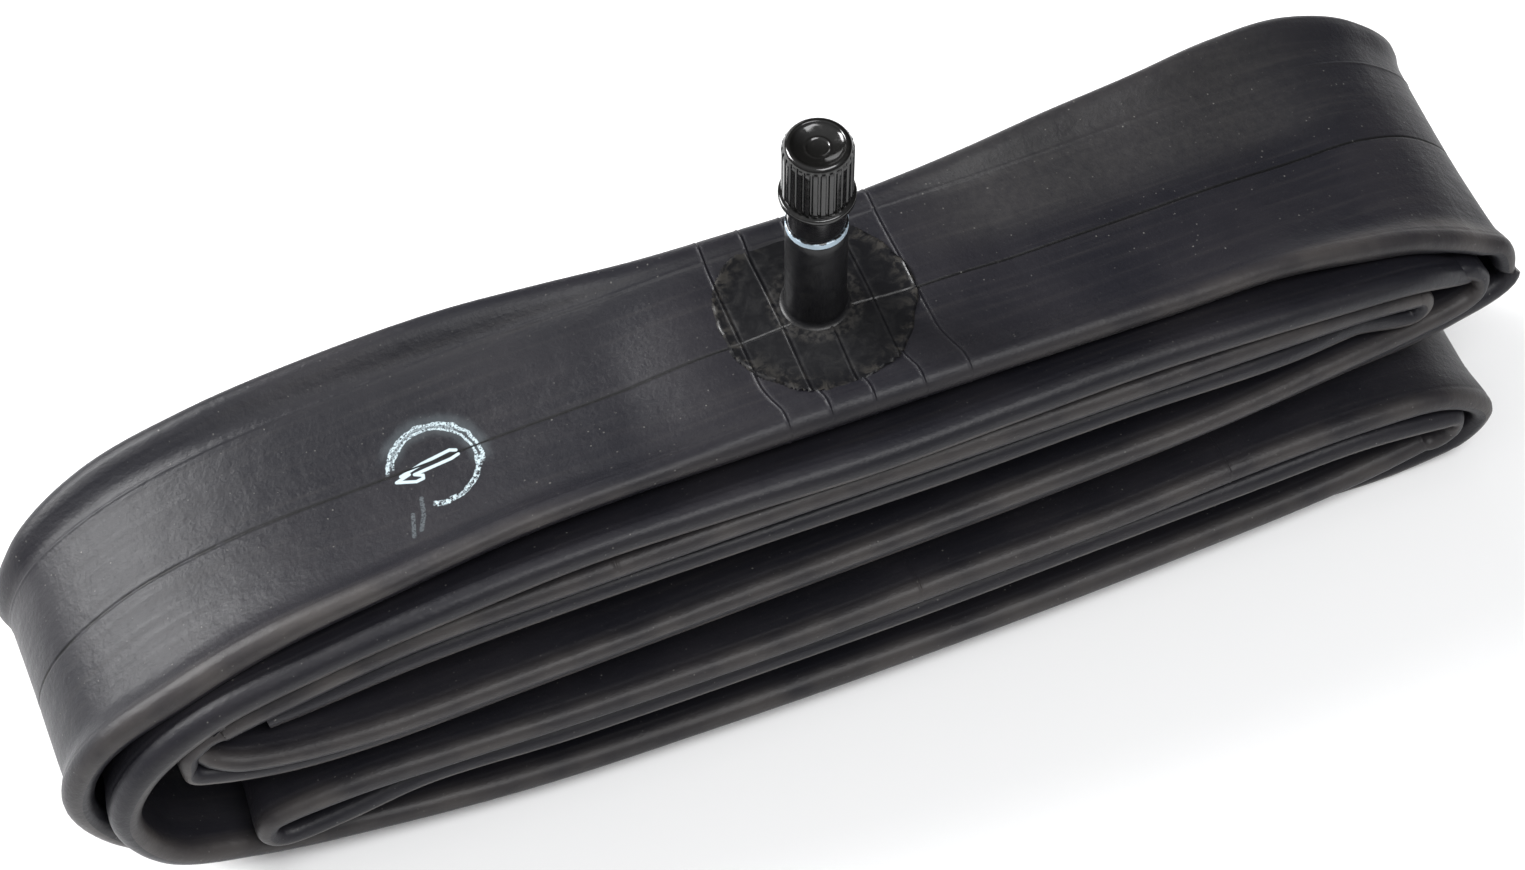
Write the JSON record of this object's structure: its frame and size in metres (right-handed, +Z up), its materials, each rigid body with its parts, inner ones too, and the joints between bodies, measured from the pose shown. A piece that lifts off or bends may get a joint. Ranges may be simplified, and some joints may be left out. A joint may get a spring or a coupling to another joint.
{
  "type": "bicycle inner tube",
  "caption": "Bicycle inner tube pressed flat and folded into a compact pack, with a rubber-covered car-type valve standing on top under a ribbed plastic cap.",
  "frame": {"origin": "middle of the folded pack's footprint, on the surface it rests on", "axes": "+X along the laps of the fold, +Y across their width, +Z up the valve"},
  "size_m": [0.2146, 0.0556, 0.096],
  "materials": {
    "tube_rubber": "satin butyl rubber with a trace of talc",
    "valve_rubber": "smooth moulded rubber",
    "stem_metal": "black-plated brass with a bright ring",
    "core_brass": "turned",
    "core_seal": "red seal",
    "spring_steel": "drawn wire",
    "seat_rubber": "moulded rubber",
    "cap_plastic": "glossy moulded plastic",
    "liner_rubber": "soft washer"
  },
  "bodies": {
    "ring": {"tube": "tube_rubber", "valve_base": "valve_rubber", "stem_insert": "stem_metal"},
    "liner": {"cap_liner": "liner_rubber"},
    "cap": {"cap": "cap_plastic"},
    "core": {"core_barrel": "core_brass", "core_barrel_seal": "core_seal", "core_spring": "spring_steel"},
    "screw": {"core_screw": "core_brass"},
    "pin": {"core_pin": "core_brass", "core_spring_cup": "core_brass", "core_seat_cup": "core_brass", "core_seat_seal": "seat_rubber"}
  },
  "joints": [
    {"name": "cap_lift", "type": "slide", "parent": "ring", "child": "liner", "axis": [0, 0, 1], "range_m": [0, 0.00734]},
    {"name": "cap_turn", "type": "hinge", "parent": "liner", "child": "cap", "pos_m": [0.0065, -0.0004, 0.0902], "axis": [0, 0, 1], "range_deg": [0, 3330]},
    {"name": "core_lift", "type": "slide", "parent": "ring", "child": "core", "axis": [0, 0, 1], "range_m": [0, 0.000705]},
    {"name": "core_turn", "type": "hinge", "parent": "core", "child": "screw", "pos_m": [0.0065, -0.0004, 0.0887], "axis": [0, 0, 1], "range_deg": [0, 360]},
    {"name": "pin_press", "type": "slide", "parent": "core", "child": "pin", "axis": [0, 0, 1], "range_m": [-0.0015, 0], "stiffness_N_per_m": 300, "springref_m": 0.002, "deforming": ["core_spring"]}
  ],
  "couplings": [
    {"joint": "cap_turn", "follows": "cap_lift", "rad_per_m": 7915.8},
    {"joint": "core_turn", "follows": "core_lift", "rad_per_m": 8904.7}
  ]
}
